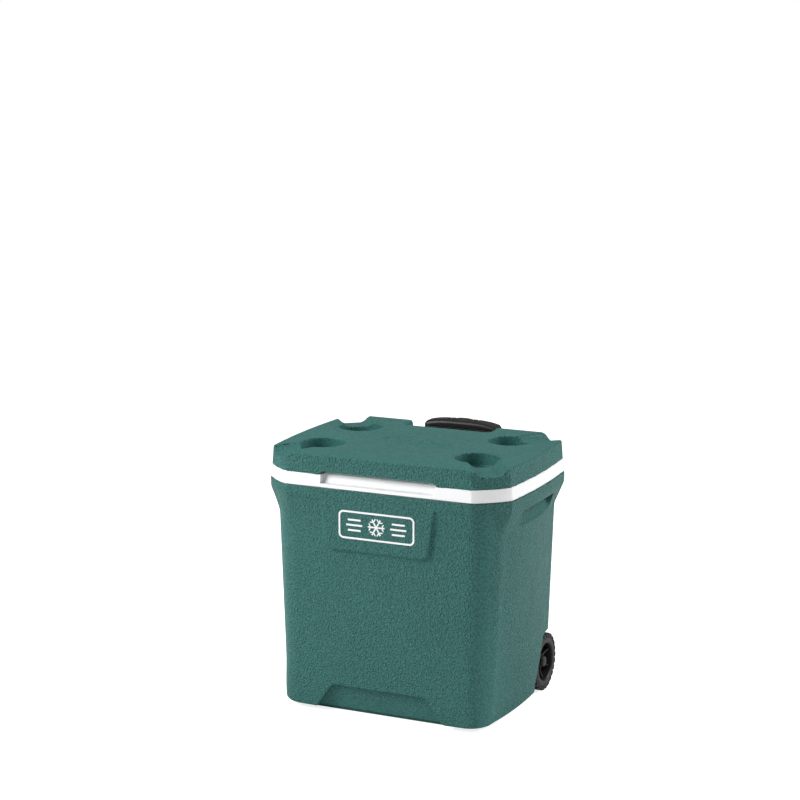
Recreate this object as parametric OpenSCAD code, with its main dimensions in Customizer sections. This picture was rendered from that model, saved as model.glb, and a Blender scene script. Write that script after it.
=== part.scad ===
// Family cool box on two wheels: foam-filled body with a white tub, a hinged
// foam-filled lid with four cup holders, and a two-stage telescopic tow handle.
// Millimetres. +Z is up, +X is to the right seen from the front, the front
// faces -Y. The origin is the centre of the flat base, on the ground.

/* [Body] */
// Width of the rim band, the widest part of the cool box
band_w = 465; // [455:1:475]
// Depth of the rim band from front to back
band_d = 342.5; // [338:0.5:347]
// Height of the top edge of the body shell above the ground
body_top = 402; // [400:0.5:404]
// Width of the body shell at its lower edge
foot_w = 407; // [402:1:410]
// Height of the flat base pad that lifts the lower edge off the ground
pad_h = 8; // [6:0.5:9]
// Wall thickness of the moulded shells
wall = 3; // [2.5:0.1:3.2]
// Reach of the rim band's eased corner along the front edge
corner_x = 55; // [50:1:60]
// Reach of the rim band's eased corner along the side edge
corner_y = 49; // [44:1:54]

/* [Lid] */
// Height of the white rim band
band_h = 22; // [20:0.5:23]
// Height of the flat top of the lid above the ground
lid_top = 460; // [458:0.5:461]
// Diameter of a cup holder
cup_d = 78; // [72:1:80]
// Depth of a cup holder
cup_depth = 25; // [18:1:28]
// Width of the notch at the back of the lid that leaves room for the tow grip
notch_w = 168; // [160:1:170]
// Width of the finger recess in the front of the lid
recess_w = 211; // [180:1:214]

/* [Tow handle] */
// Distance of the tow tubes behind the body centre
tow_y = 200; // [200:0.5:202]
// Distance between the two tow tubes
tow_span = 116; // [110:1:118]
// Length of the tow grip
grip_l = 148; // [140:1:150]

/* [Wheels] */
// Diameter of a wheel over its tread
wheel_d = 104; // [100:1:105]
// Width of a wheel
wheel_w = 32; // [28:1:32]
// Number of tread blocks around a wheel
blocks = 26; // [20:1:32]
// Distance of the axle behind the body centre
axle_y = 111; // [106:1:112]

/* [Hidden] */

green = [0.25, 0.44, 0.41];
white = [0.95, 0.95, 0.96];
black = [0.10, 0.10, 0.11];
steel = [0.72, 0.73, 0.75];
ba = band_w / 2;            // half-width of the band
bb = band_d / 2 + 1.25;     // front half-depth of the band at its middle
br = 170;                   // the rear of the band is straight at this distance
sf = 4.8;                   // bow of the body's front
ss = 9.2;                   // bow of each side of the body
rf = 0.8;                   // bow of the front edge of the rim
rs = 6;                     // bow of each side edge of the rim
fa = foot_w / 2;            // half-width at the lower edge
fb = 168.5;                 // front half-depth at the lower edge
z_foot = pad_h;             // lower edge of the body
z_uf = 343;                 // where the sides start to flare out under the rim
z_fl = 384;                 // underside of the rim flange
z_band = body_top + 1;      // lower edge of the lid band
z_bt = z_band + band_h;     // upper edge of the lid band
z_side = lid_top - 3;       // top of the lid's side wall
wr = wheel_d / 2;
wz = wr;                    // axle height: the wheels stand on the ground
wx1 = 200.5;                // outer face of a wheel
wx0 = wx1 - wheel_w;        // inner face of a wheel
well_x = wx0 - 3;           // inner wall of a wheel well
tx = tow_span / 2;
hinge_y = 176.5;
hinge_z = 418;
hx = 140;                   // hinge centres, left and right
cups = [[-145, -80], [145, -80], [-145, 68], [145, 68]];
cup_r = cup_d / 2;
cup_z = lid_top - cup_depth;

// ---- plan outline: a rounded rectangle with bowed front and side edges ----
function arcp(cx, cy, r, a0, a1, n) = [for (i = [0:n])
  [cx + r * cos(a0 + (a1 - a0) * i / n), cy + r * sin(a0 + (a1 - a0) * i / n)]];
function plan(a, bf, bk, r, f, s, n = 8) = let (A = a - s, F = bf - f, w = A - r,
    yf = -(F - r), yk = bk - r, ym = (yf + yk) / 2, h = (yk - yf) / 2) concat(
  [for (i = [-4:4]) [w * i / 5, -(bf - f * pow(i / 5, 2))]],
  arcp(w, yf, r, -90, 0, n),
  [for (i = [-4:4]) [a - s * pow(i / 5, 2), ym + h * i / 5]],
  arcp(w, yk, r, 0, 90, n),
  arcp(-w, yk, r, 90, 180, n),
  [for (i = [4:-1:-4]) [-(a - s * pow(i / 5, 2)), ym + h * i / 5]],
  arcp(-w, yf, r, 180, 270, n));
// Outline of the rim, band and lid: almost straight edges between eased, chamfer-like corners.
function arcs(cx, cy, rx, ry, a0, a1, n) = [for (i = [0:n]) let (t = a0 + (a1 - a0) * i / n)
  [cx + rx * sign(cos(t)) * pow(abs(cos(t)), 1.6), cy + ry * sign(sin(t)) * pow(abs(sin(t)), 1.6)]];
function eased(a, bf, bk, rx, ry, n = 8) = let (w = a - rs - rx, yf = -(bf - rf - ry), yk = bk - ry,
    ym = (yf + yk) / 2, h = (yk - yf) / 2) concat(
  [for (i = [-4:4]) [w * i / 5, -(bf - rf * pow(i / 5, 2))]],
  arcs(w, yf, rx, ry, -90, 0, n),
  [for (i = [-4:4]) [a - rs * pow(i / 5, 2), ym + h * i / 5]],
  arcs(w, yk, rx, ry, 0, 90, n),
  arcs(-w, yk, rx, ry, 90, 180, n),
  [for (i = [4:-1:-4]) [-(a - rs * pow(i / 5, 2)), ym + h * i / 5]],
  arcs(-w, yf, rx, ry, 180, 270, n));
// The rim outline moved in by d.
function rim(d) = eased(ba - d, bb - d, br - d, corner_x - 0.7 * d, corner_y - 0.7 * d);
// Closed form through outlines of equal point count, given as [height, outline] from low to high.
module loft(rings) let (m = len(rings[0][1]), k = len(rings)) polyhedron(
  points = [for (r = rings) for (p = r[1]) [p[0], p[1], r[0]]],
  faces = concat([[for (i = [0:m - 1]) i]], [[for (i = [m - 1:-1:0]) (k - 1) * m + i]],
    [for (j = [0:k - 2]) for (i = [0:m - 1]) let (a = j * m + i, b = j * m + (i + 1) % m) [a, a + m, b + m]],
    [for (j = [0:k - 2]) for (i = [0:m - 1]) let (a = j * m + i, b = j * m + (i + 1) % m) [a, b + m, b]]));
module box(p, q) translate(p) cube([q[0] - p[0], q[1] - p[1], q[2] - p[2]]);
module bar_x(x0, x1, y, z, r, fn = 48) translate([x0, y, z]) rotate([0, 90, 0])
  cylinder(h = x1 - x0, r = r, $fn = fn);
module bar_y(y0, y1, x, z, r, fn = 32) translate([x, y0, z]) rotate([-90, 0, 0])
  cylinder(h = y1 - y0, r = r, $fn = fn);
module tube(z0, z1, ro, ri) difference() {
  translate([0, 0, z0]) cylinder(h = z1 - z0, r = ro, $fn = 48);
  translate([0, 0, z0 - 1]) cylinder(h = z1 - z0 + 2, r = ri, $fn = 48);
}
module both() for (m = [0, 1]) mirror([m, 0, 0]) children();

// ---------------------------------------------------------------- body ----
// Outer form of the body, moved in by d for the inner faces.
module body_form(d = 0, up = 0) loft([
  [z_foot + d, plan(fa - 7 - d, fb - 7 - d, 153 - d, 34 - d, sf, ss)],
  [z_foot + 2.5 + d * 0.7, plan(fa - 2.5 - d, fb - 2.5 - d, 157.5 - d, 38 - d, sf, ss)],
  [z_foot + 8 + d * 0.4, plan(fa - d, fb - d, 160 - d, 40 - d, sf, ss)],
  [z_uf, plan(219 - d, 170 - d, 162 - d, 54 - d, sf, ss)],
  [z_fl, rim(0.5 + d)], [body_top + up, rim(0.5 + d)]]);
// Space for a wheel, grown by d for the wall around it.
module well(d = 0) both() translate([well_x - d, 0, 0]) rotate([90, 0, 90])
  linear_extrude(203 - 1.5 - well_x + d) polygon(concat([[axle_y - wr - 4 - d, -1]],
    arcp(axle_y, wz, wr + 4 + d, 180, 90, 12), [[200, wz + wr + 4 + d], [200, -1]]));
// Opening in the side skin, cut on a slant in front of the wheel.
module well_window() both() translate([203 - 3.5, 0, 0]) rotate([90, 0, 90])
  linear_extrude(40) polygon([[50, -2], [62, 22], [79, 32], [86, 50], [104, 72], [116, 96],
    [126, wz + wr + 4], [200, wz + wr + 4], [200, -2]]);
// Toe recess low in the front, between the two front feet.
module toe(d = 0) intersection() {
  translate([0, -120, 0]) rotate([90, 0, 0]) linear_extrude(90)
    polygon([[-120 - d, -2], [-120 - d, 9 + d], [-88 - d, 54 + d], [88 + d, 54 + d],
      [120 + d, 9 + d], [120 + d, -2]]);
  translate([-150, 0, 0]) rotate([90, 0, 90]) linear_extrude(300)
    polygon([[-210, -2], [-146 + d, -2], [-147 + d, 14], [-152 + d, 36], [-159 + d, 54 + d], [-210, 54 + d]]);
}
// Hand-hold pockets in both sides, under the rim.
module pocket(d = 0) both() translate([0, 72 + d, 0]) rotate([90, 0, 0])
  linear_extrude(144 + 2 * d) polygon([[206 - d, 374 + d], [245, 374 + d], [245, 344], [217 - d * 0.6, 344 - d]]);
// Raised panel in the middle of the front, level with the rim.
module bib() translate([0, -160, 0]) rotate([90, 0, 0]) linear_extrude(bb - 160 - 0.4)
  polygon(concat([[106, body_top - 4], [-106, body_top - 4], [-106, z_fl - 4]],
    arcp(-84, 306, 9, 180, 270, 6), arcp(84, 306, 9, 270, 360, 6), [[106, z_fl - 4]]));
module pad(d = 0) linear_extrude(pad_h + 4 + 2 * d) difference() {
  polygon([[-165 + d, -138 + d], [165 - d, -138 + d], [165 - d, 40 - d], [140 - d, 90 - d],
    [-140 + d, 90 - d], [-165 + d, 40 - d]]);
}
module body_shell() color(green) difference() {
  union() {
    difference() {
      union() { body_form(); pad(); bib(); }
      body_form(wall, 5);
      translate([0, 0, wall]) pad(wall);
    }
    intersection() {
      body_form();
      union() { well(wall); toe(wall); pocket(wall); rear_cut(wall); }
    }
  }
  well(); well_window(); toe(); pocket();
  rear_cut();
  bar_x(-230, 230, axle_y, wz, 4.1);
}
// The lower rear edge is cut back so that the box clears the ground when it is tipped to roll.
module rear_cut(d = 0) translate([-(well_x - 4 + d), 0, 0]) rotate([90, 0, 90])
  linear_extrude(2 * (well_x - 4 + d)) polygon([[128 - d * 1.4, -2], [200, 70 - d * 1.4 + 2], [200, -2]]);
module tub(d = 0, up = 0) loft([[72 + d, plan(154 - d, 128 - d, 112 - d, 36 - d, 3, 3)],
  [body_top + up, plan(190 - d, 140 - d, 134 - d, 46 - d, 3, 3)]]);
module body_liner() color(white) difference() {
  union() {
    tub();
    translate([0, 0, body_top - 3]) linear_extrude(3)
      polygon(rim(0.7 + wall));
  }
  tub(3, 5);
}
module body_foam() color([0.93, 0.88, 0.70]) difference() {
  intersection() {
    body_form(wall + 0.3);
    box([-300, -300, 0], [300, 300, body_top - 3.2]);
  }
  loft([[71.7, plan(154.3, 128.3, 112.3, 36.3, 3, 3)], [body_top + 1, plan(190.5, 140.5, 134.5, 46.3, 3, 3)]]);
  well(wall + 0.2); toe(wall + 0.2); pocket(wall + 0.2);
  bar_x(-230, 230, axle_y, wz, 4.3);
  for (s = [-1, 1]) for (z = [134, 376]) bar_y(120, 175, s * 30, z, 2.6);
  for (s = [-1, 1]) for (x = [hx - 12, hx + 12]) bar_y(140, 175, s * x, 390, 2.4);
  rear_cut(wall + 0.2);
}
// Generic badge: a rounded frame, a six-armed frost star and plain bars.
module badge2d() {
  difference() { rr(141, 49, 9); rr(134, 42, 6); }
  for (a = [0, 60, 120]) rotate(a) square([30, 2.6], center = true);
  for (a = [0:60:300]) rotate(a) translate([9, 0]) for (s = [-1, 1]) rotate(s * 60)
    translate([0, -1]) square([5.5, 2]);
  for (s = [-1, 1]) for (i = [-1:1]) translate([s * 41, i * 9]) square([30 - 6 * abs(i), 3], center = true);
}
module rr(w, h, r) polygon(concat(arcp(w / 2 - r, -h / 2 + r, r, -90, 0, 6), arcp(w / 2 - r, h / 2 - r, r, 0, 90, 6),
  arcp(-w / 2 + r, h / 2 - r, r, 90, 180, 6), arcp(-w / 2 + r, -h / 2 + r, r, 180, 270, 6)));
module front_badge() color(white) translate([0, -(bb - 0.4), 344]) rotate([90, 0, 0])
  linear_extrude(0.8) badge2d();

// ------------------------------------------------------- axle and wheels --
module axle() color(steel) bar_x(-195, 195, axle_y, wz, 4);
module axle_washers() color(steel) both() difference() {
  bar_x(well_x + 0.3, wx0 - 0.3, axle_y, wz, 9);
  bar_x(well_x - 1, wx0 + 1, axle_y, wz, 4.05);
}
module push_nuts() color(steel) both() difference() {
  bar_x(wx0 + 25.4, wx0 + 26.2, axle_y, wz, 7.5);
  bar_x(wx0 + 24, wx0 + 28, axle_y, wz, 4);
}
module at_wheel(left) mirror([left ? 1 : 0, 0, 0]) translate([wx0, axle_y, wz]) rotate([0, 90, 0]) children();
module wheel_hub(left) color(black) at_wheel(left) union() {
  rotate_extrude($fn = 96) polygon([[7, 4], [12, 4], [12, 10], [wr - 14, 10], [wr - 12, 1], [wr - 8, 1],
    [wr - 8, wheel_w - 1], [34, wheel_w], [31, 18], [12, 16], [12, 24], [7, 24]]);
  for (i = [0:5]) rotate(i * 60) translate([11.5, -2.2, 15]) cube([20.5, 4.4, 7]);
}
module wheel_tyre(left) color(black) at_wheel(left) difference() {
  rotate_extrude($fn = 96) polygon([[wr - 8, 0.8], [wr - 2, 0.8], [wr, 3.5], [wr, wheel_w - 3.5],
    [wr - 2, wheel_w - 0.8], [wr - 8, wheel_w - 0.8]]);
  for (i = [0:blocks - 1]) rotate(i * 360 / blocks) translate([wr - 3, -1.8, 18]) cube([8, 3.6, 20]);
  for (i = [0:blocks - 1]) rotate((i + 0.5) * 360 / blocks) translate([wr - 3, -1.8, -4]) cube([8, 3.6, 18]);
}
module wheel_bush(left) color(white) at_wheel(left) tube(3, 25, 7, 4.05);
module wheel_cap(left) color(black) at_wheel(left) difference() {
  rotate_extrude($fn = 64) polygon([[0, 24], [10.5, 24], [10.5, 26], [8.5, 29.5], [5, 30.5], [0, 30.8]]);
  translate([0, 0, 23]) cylinder(h = 5.5, r = 8.4, $fn = 48);
}
module wheel_hub_left() wheel_hub(true);
module wheel_hub_right() wheel_hub(false);
module wheel_tyre_left() wheel_tyre(true);
module wheel_tyre_right() wheel_tyre(false);
module wheel_bush_left() wheel_bush(true);
module wheel_bush_right() wheel_bush(false);
module wheel_cap_left() wheel_cap(true);
module wheel_cap_right() wheel_cap(false);

// ----------------------------------------------------------------- lid ----
module lid_form(d = 0, low = 0) loft([
  [z_bt - low, rim(3.5 + d)],
  [z_side - d * 0.9, rim(5.8 + d)],
  [lid_top - d, eased(ba - 41, bb - 38, br - 6.3 - d, 42, 37)]]);
module cup_set(d = 0) for (c = cups) {
  translate([c[0], c[1], cup_z - d]) cylinder(h = 60, r = cup_r + d, $fn = 72);
  // drip channel from the cup to the nearest corner of the lid, opening and falling outwards
  translate([c[0], c[1], lid_top - 2.6]) rotate([0, 0, atan2(c[1] > 0 ? 81 : -71, c[0] > 0 ? 57 : -57)])
    rotate([0, c[1] > 0 ? 5 : 7.9, 0]) rotate([90, 0, 90]) linear_extrude(120)
      polygon([[-20 - d * 0.7, -d], [20 + d * 0.7, -d], [31 + d, 13.5], [34 + d, 40], [-34 - d, 40], [-31 - d, 13.5]]);
}
module notch(d = 0) box([-notch_w / 2 - d, 116 - d, z_bt + 2 - d], [notch_w / 2 + d, 240, lid_top + 20]);
module finger(d = 0) box([-recess_w / 2 - d, -200, z_band + 4.5 - d], [recess_w / 2 + d, -(bb - 20) + d, z_band + 27 + d]);
module lid_shell() color(green) difference() {
  union() {
    difference() { lid_form(); lid_form(wall, 1); }
    intersection() {
      lid_form();
      union() { cup_set(2.6); notch(2.6); finger_top(2.6); }
    }
  }
  cup_set(); notch(); finger(0);
}
module finger_top(d) difference() {
  box([-recess_w / 2 - d, -200, z_bt], [recess_w / 2 + d, -(bb - 20) + d, z_band + 27 + d]);
  box([-recess_w / 2 - 0.2, -201, z_bt - 1], [recess_w / 2 + 0.2, -(bb - 20) + d + 1, z_band + 27]);
}
module band_form() loft([[z_band, rim(0)], [z_bt, rim(2.5)]]);
module plug(d = 0) loft([[391 + d, plan(178 - d, 128 - d, 122 - d, 36 - d, 3, 3)],
  [z_band + 2 + d, plan(181 - d, 131 - d, 125 - d, 38 - d, 3, 3)]]);
module lid_liner() color(white) difference() {
  union() {
    difference() {
      union() { band_form(); plug(); }
      loft([[z_band + 3, rim(3.2)], [z_bt + 5, rim(6.3)]]);
      plug(3);
    }
    // back wall and ends of the finger recess
    intersection() {
      box([-200, -bb + 2.8, z_band + 1], [200, -120, z_bt - 0.1]);
      finger(3);
    }
    box([-recess_w / 2, -(bb - 20), z_bt - 0.1], [recess_w / 2, -(bb - 20) + 2.4, z_band + 26]);
  }
  finger();
}
module lid_foam() color([0.93, 0.88, 0.70]) difference() {
  loft([[z_band + 3.4, rim(7)], [z_side - 6.5, rim(10)],
    [lid_top - 3.6, eased(ba - 46, bb - 43, br - 12, 39, 34)]]);
  cup_set(3); notch(3);
  finger(3.4);
  for (s = [-1, 1]) for (x = [hx - 6, hx + 6]) bar_y(130, 175, s * x, 440, 2.4);
}

// --------------------------------------------------------------- hinges --
module knuckle(x0, x1) difference() {
  bar_x(x0, x1, hinge_y, hinge_z, 5);
  bar_x(x0 - 1, x1 + 1, hinge_y, hinge_z, 2.05);
}
module leaf_body() difference() {
  union() {
    box([hx - 22, br + 0.1, 378], [hx + 22, br + 3.6, 401]);
    box([hx - 22, br + 1.6, 400], [hx + 22, br + 4.6, 410.5]);
    for (x = [hx - 22, hx + 12]) {
      box([x, br + 1.6, 400], [x + 10, br + 4.6, 416]);
      knuckle(x, x + 10);
    }
  }
  for (x = [hx - 12, hx + 12]) bar_y(160, 180, x, 390, 2.2);
  bar_x(hx - 30, hx + 30, hinge_y, hinge_z, 2.05);
}
module leaf_lid() difference() {
  union() {
    box([hx - 11.7, br - 0.6, 413.5], [hx + 11.7, br + 2.4, 450]);
    knuckle(hx - 11.7, hx + 11.7);
  }
  for (x = [hx - 6, hx + 6]) bar_y(160, 180, x, 440, 2.2);
  bar_x(hx - 30, hx + 30, hinge_y, hinge_z, 2.05);
}
module hinge_leaf_body_left() color(black) mirror([1, 0, 0]) leaf_body();
module hinge_leaf_body_right() color(black) leaf_body();
module hinge_leaf_lid_left() color(black) mirror([1, 0, 0]) leaf_lid();
module hinge_leaf_lid_right() color(black) leaf_lid();
module hinge_pins() color(steel) both() bar_x(hx - 23, hx + 23, hinge_y, hinge_z, 2);
module screw_y(x, y, z, l, r = 1.9) { // head face at y, shank runs forward into the wall
  bar_y(y - l, y + 0.5, x, z, r);
  translate([x, y, z]) rotate([-90, 0, 0]) cylinder(h = 1.8, r1 = 4, r2 = 2.6, $fn = 32);
}
module hinge_screws_body() color(steel) both() for (x = [hx - 12, hx + 12]) screw_y(x, br + 3.6, 390, 22);
module hinge_screws_lid() color(steel) both() for (x = [hx - 6, hx + 6]) screw_y(x, br + 2.4, 440, 22);

// ----------------------------------------------------------- tow handle --
module at_tubes() both() translate([tx, tow_y, 0]) children();
module one_tube(left) mirror([left ? 1 : 0, 0, 0]) translate([tx, tow_y, 0]) children();
module outer_tube_left() color(black) one_tube(true) tube(118, 394, 12, 10.5);
module outer_tube_right() color(black) one_tube(false) tube(118, 394, 12, 10.5);
module tube_collars() color(black) at_tubes() union() {
  tube(394, 401, 12.6, 9.55);
  tube(384, 394, 10.45, 9.55);
}
module mid_tube_left() color(steel) one_tube(true) tube(124, 402, 9.5, 8.2);
module mid_tube_right() color(steel) one_tube(false) tube(124, 402, 9.5, 8.2);
module mid_collars() color(black) at_tubes() union() {
  tube(402, 407, 9.5, 7.05);
  tube(392, 402, 8.15, 7.05);
}
module top_tube_left() color(steel) one_tube(true) tube(130, 444.6, 7, 5.8);
module top_tube_right() color(steel) one_tube(false) tube(130, 444.6, 7, 5.8);
module bracket_bar(z0, z1, wall_y) difference() {
  union() {
    box([-tx, wall_y, z0], [tx, tow_y + 9, z1]);
    for (s = [-1, 1]) translate([s * tx, tow_y, z0]) cylinder(h = z1 - z0, r = 15.5, $fn = 64);
    for (s = [-1, 1]) box([s * tx - 15.5, wall_y, z0], [s * tx + 15.5, tow_y, z1]);
  }
  for (s = [-1, 1]) translate([s * tx, tow_y, z0 - 20]) cylinder(h = z1 - z0 + 40, r = 12.02, $fn = 64);
  box([-tx + 20, wall_y + 5, z0 - 1], [tx - 20, tow_y + 30, z1 + 1]);
}
module handle_upper_bracket() color(black) difference() {
  bracket_bar(366, 388, br + 0.2);
  for (s = [-1, 1]) bar_y(160, 200, s * 30, 376, 2.4);
}
module handle_lower_bracket() color(black) difference() {
  union() {
    bracket_bar(120, 148, 163);
    for (s = [-1, 1]) translate([s * tx, tow_y, 114]) cylinder(h = 6, r = 15.5, $fn = 64);
  }
  for (s = [-1, 1]) translate([s * tx, tow_y, 118]) cylinder(h = 6, r = 12.02, $fn = 64);
  for (s = [-1, 1]) bar_y(150, 200, s * 30, 134, 2.4);
}
module bracket_screws() color(steel) both() {
  screw_y(30, br + 5.2, 376, 26, 2.1);
  screw_y(30, 168, 134, 26, 2.1);
}
// Grip outline from the front: an arch whose ends drop to the tubes.
function grip_top(x) = 460.6 - 8 * pow(abs(x) / (grip_l / 2), 3.4);
module grip_front_view(d = 0) polygon(concat(
  [for (i = [-12:12]) [i * (grip_l / 2 - 5 - d) / 12, grip_top(i * (grip_l / 2 - 5) / 12) - d]],
  [[grip_l / 2 - d, 447], [grip_l / 2 - d, 438 + d], [grip_l / 2 - 6 - d, 432 + d], [tx - 11 + d, 432 + d], [tx - 16 + d, 440 + d],
   [-(tx - 16 + d), 440 + d], [-(tx - 11 + d), 432 + d], [-(grip_l / 2 - 6 - d), 432 + d], [-(grip_l / 2 - d), 438 + d], [-(grip_l / 2 - d), 447]]));
module grip_body() intersection() {
  translate([0, tow_y + 10, 0]) rotate([90, 0, 0]) linear_extrude(28) grip_front_view();
  translate([-90, 0, 0]) rotate([90, 0, 90]) linear_extrude(180) polygon([[tow_y - 18, 438], [tow_y - 18, 452],
    [tow_y - 15.5, 457], [tow_y - 11, 461], [tow_y + 4, 461], [tow_y + 8, 458], [tow_y + 10, 453], [tow_y + 10, 437],
    [tow_y + 8.6, 432], [tow_y - 13, 432]]);
}
split_z = 447;
module grip_lower() color(black) difference() {
  intersection() { grip_body(); box([-100, 150, 425], [100, 250, split_z]); }
  box([-tx - 3, tow_y - 4.6, 444], [tx + 3, tow_y + 4.6, split_z + 1]);
  for (s = [-1, 1]) translate([s * tx, tow_y, 425]) cylinder(h = 19.62, r = 7.02, $fn = 48);
  for (s = [-1, 1]) translate([s * tx, tow_y, 425]) cylinder(h = 40, r = 4.5, $fn = 48);
  translate([0, tow_y, 441.4]) cylinder(h = 10, r = 5.2, $fn = 48);
  for (s = [-1, 1]) translate([s * 36, tow_y, 425]) cylinder(h = 40, r = 1.7, $fn = 32);
  for (s = [-1, 1]) translate([s * 36, tow_y, 425]) cylinder(h = 17, r = 3.6, $fn = 32);
}
module grip_upper() color(black) difference() {
  intersection() { grip_body(); box([-100, 150, split_z], [100, 250, 480]); }
  box([-tx - 3, tow_y - 4.6, split_z - 1], [tx + 3, tow_y + 4.6, 451.3]);
  box([-17, tow_y - 8.3, split_z - 1], [17, tow_y + 8.3, 480]);
  for (s = [-1, 1]) translate([s * 36, tow_y, split_z - 1]) cylinder(h = 12, r = 1.7, $fn = 32);
}
module grip_screws() color(steel) for (s = [-1, 1]) translate([s * 36, tow_y, 0]) {
  translate([0, 0, 439.2]) cylinder(h = 2.8, r = 3.2, $fn = 32);
  translate([0, 0, 441.5]) cylinder(h = 15.5, r = 1.7, $fn = 32);
}
// Release button in the top of the grip, on a yoke with two rods down the tubes.
module release_button() color(black) union() {
  intersection() {
    translate([0, tow_y + 8, 0]) rotate([90, 0, 0]) linear_extrude(16) polygon(concat([[-16.7, 453], [-16.7, 459.5]],
      [for (i = [-5:5]) [i * 3.2, 461.8 - 1.4 * pow(abs(i) / 5, 2)]], [[16.7, 459.5], [16.7, 453]]));
    translate([-90, 0, 0]) rotate([90, 0, 90]) linear_extrude(180) polygon([[tow_y - 8, 450],
      [tow_y - 8, 459], [tow_y - 5, 461.8], [tow_y + 5, 461.8], [tow_y + 8, 459], [tow_y + 8, 450]]);
  }
  box([-8, tow_y - 3, 450.9], [8, tow_y + 3, 453]);
}
module release_yoke() color(white) union() {
  difference() {
    box([-tx - 2.2, tow_y - 4.2, 448.3], [tx + 2.2, tow_y + 4.2, 450.9]);
    for (s = [-1, 1]) translate([s * 36, tow_y, 440]) cylinder(h = 20, r = 2.3, $fn = 32);
  }
  for (s = [-1, 1]) translate([s * tx, tow_y, 160]) cylinder(h = 289, r = 2.2, $fn = 32);
}
// Compression spring under the yoke, as a closed coil of round wire.
coil_n = 60;
coil_turns = 4;
function coil_c(i) = let (a = 360 * coil_turns * i / coil_n) [4 * cos(a), 4 * sin(a), 442.2 + 5.3 * i / coil_n];
module button_spring() color(steel) translate([0, tow_y, 0]) polyhedron(
  points = [for (i = [0:coil_n]) let (a = 360 * coil_turns * i / coil_n, c = coil_c(i))
    for (k = [0:7]) c + 0.45 * [cos(a) * cos(45 * k), sin(a) * cos(45 * k), sin(45 * k)]],
  faces = concat([[for (k = [0:7]) k]], [[for (k = [7:-1:0]) coil_n * 8 + k]],
    [for (i = [0:coil_n - 1]) for (k = [0:7]) [i * 8 + (k + 1) % 8, i * 8 + k, (i + 1) * 8 + k, (i + 1) * 8 + (k + 1) % 8]]));

body_shell();
body_foam();
body_liner();
front_badge();
axle();
axle_washers();
push_nuts();
handle_upper_bracket();
handle_lower_bracket();
bracket_screws();
outer_tube_left();
outer_tube_right();
tube_collars();
hinge_leaf_body_left();
hinge_leaf_body_right();
hinge_pins();
hinge_screws_body();
lid_shell();
lid_foam();
lid_liner();
hinge_leaf_lid_left();
hinge_leaf_lid_right();
hinge_screws_lid();
mid_tube_left();
mid_tube_right();
mid_collars();
top_tube_left();
top_tube_right();
grip_lower();
grip_upper();
grip_screws();
release_button();
release_yoke();
button_spring();
wheel_hub_left();
wheel_tyre_left();
wheel_bush_left();
wheel_cap_left();
wheel_hub_right();
wheel_tyre_right();
wheel_bush_right();
wheel_cap_right();
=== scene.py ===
"""Family cool box on two wheels: the looks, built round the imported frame. Lengths in the shape functions are millimetres; meshes are made in metres."""

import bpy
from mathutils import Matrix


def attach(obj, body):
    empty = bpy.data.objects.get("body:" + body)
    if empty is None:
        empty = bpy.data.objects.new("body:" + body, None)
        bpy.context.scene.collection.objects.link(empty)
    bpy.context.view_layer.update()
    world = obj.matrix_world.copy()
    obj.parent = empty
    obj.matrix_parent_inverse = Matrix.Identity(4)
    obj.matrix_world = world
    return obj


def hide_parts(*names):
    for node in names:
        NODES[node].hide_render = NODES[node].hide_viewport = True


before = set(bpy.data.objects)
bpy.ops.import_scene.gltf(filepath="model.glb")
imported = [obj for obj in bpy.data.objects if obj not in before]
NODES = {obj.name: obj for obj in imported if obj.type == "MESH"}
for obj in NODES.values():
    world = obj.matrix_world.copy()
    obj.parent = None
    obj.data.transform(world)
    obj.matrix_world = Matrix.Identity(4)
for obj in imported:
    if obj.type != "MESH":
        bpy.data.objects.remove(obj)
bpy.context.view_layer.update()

import math
import time

import bmesh
import bpy
import numpy as np
from mathutils import Matrix, Vector

START = time.time()
MM = 0.001


# ------------------------------------------------------------- fields ----
def rmax(a, b, r):
    """Both a and b, with an edge rounded to radius r."""
    u, v = np.maximum(a + r, 0), np.maximum(b + r, 0)
    return np.minimum(np.maximum(a, b), -r) + np.sqrt(u * u + v * v)


def rmin(a, b, r):
    """Either a or b, with a fillet of radius r."""
    return -rmax(-a, -b, r)


def cut(a, b, r):
    """a less b, with its new edge rounded."""
    return rmax(a, -b, r)


def smooth01(t):
    t = np.clip(t, 0, 1)
    return t * t * (3 - 2 * t)


def ease(t):
    t = np.abs(t)
    return np.where(t < 0.85, 1 - t * t, 0.2775 * np.clip(1 - (t - 0.85) / 0.3265, 0, 1) ** 2)


def plan(x, y, a, bf, bk, r, f=4.8, s=9.2):
    """Distance to a rounded rectangle seen from above, with bowed front and sides."""
    w = a - s - r
    yf, yk = -(bf - f - r), bk - r
    ym, h = (yf + yk) / 2, (yk - yf) / 2
    dx = np.abs(x) - w - s * ease((y - ym) / h)
    dy = np.where(y > ym, y - yk, yf - y - f * ease(x / w))
    ox, oy = np.maximum(dx, 0), np.maximum(dy, 0)
    return np.sqrt(ox * ox + oy * oy) + np.minimum(np.maximum(dx, dy), 0) - r


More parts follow.
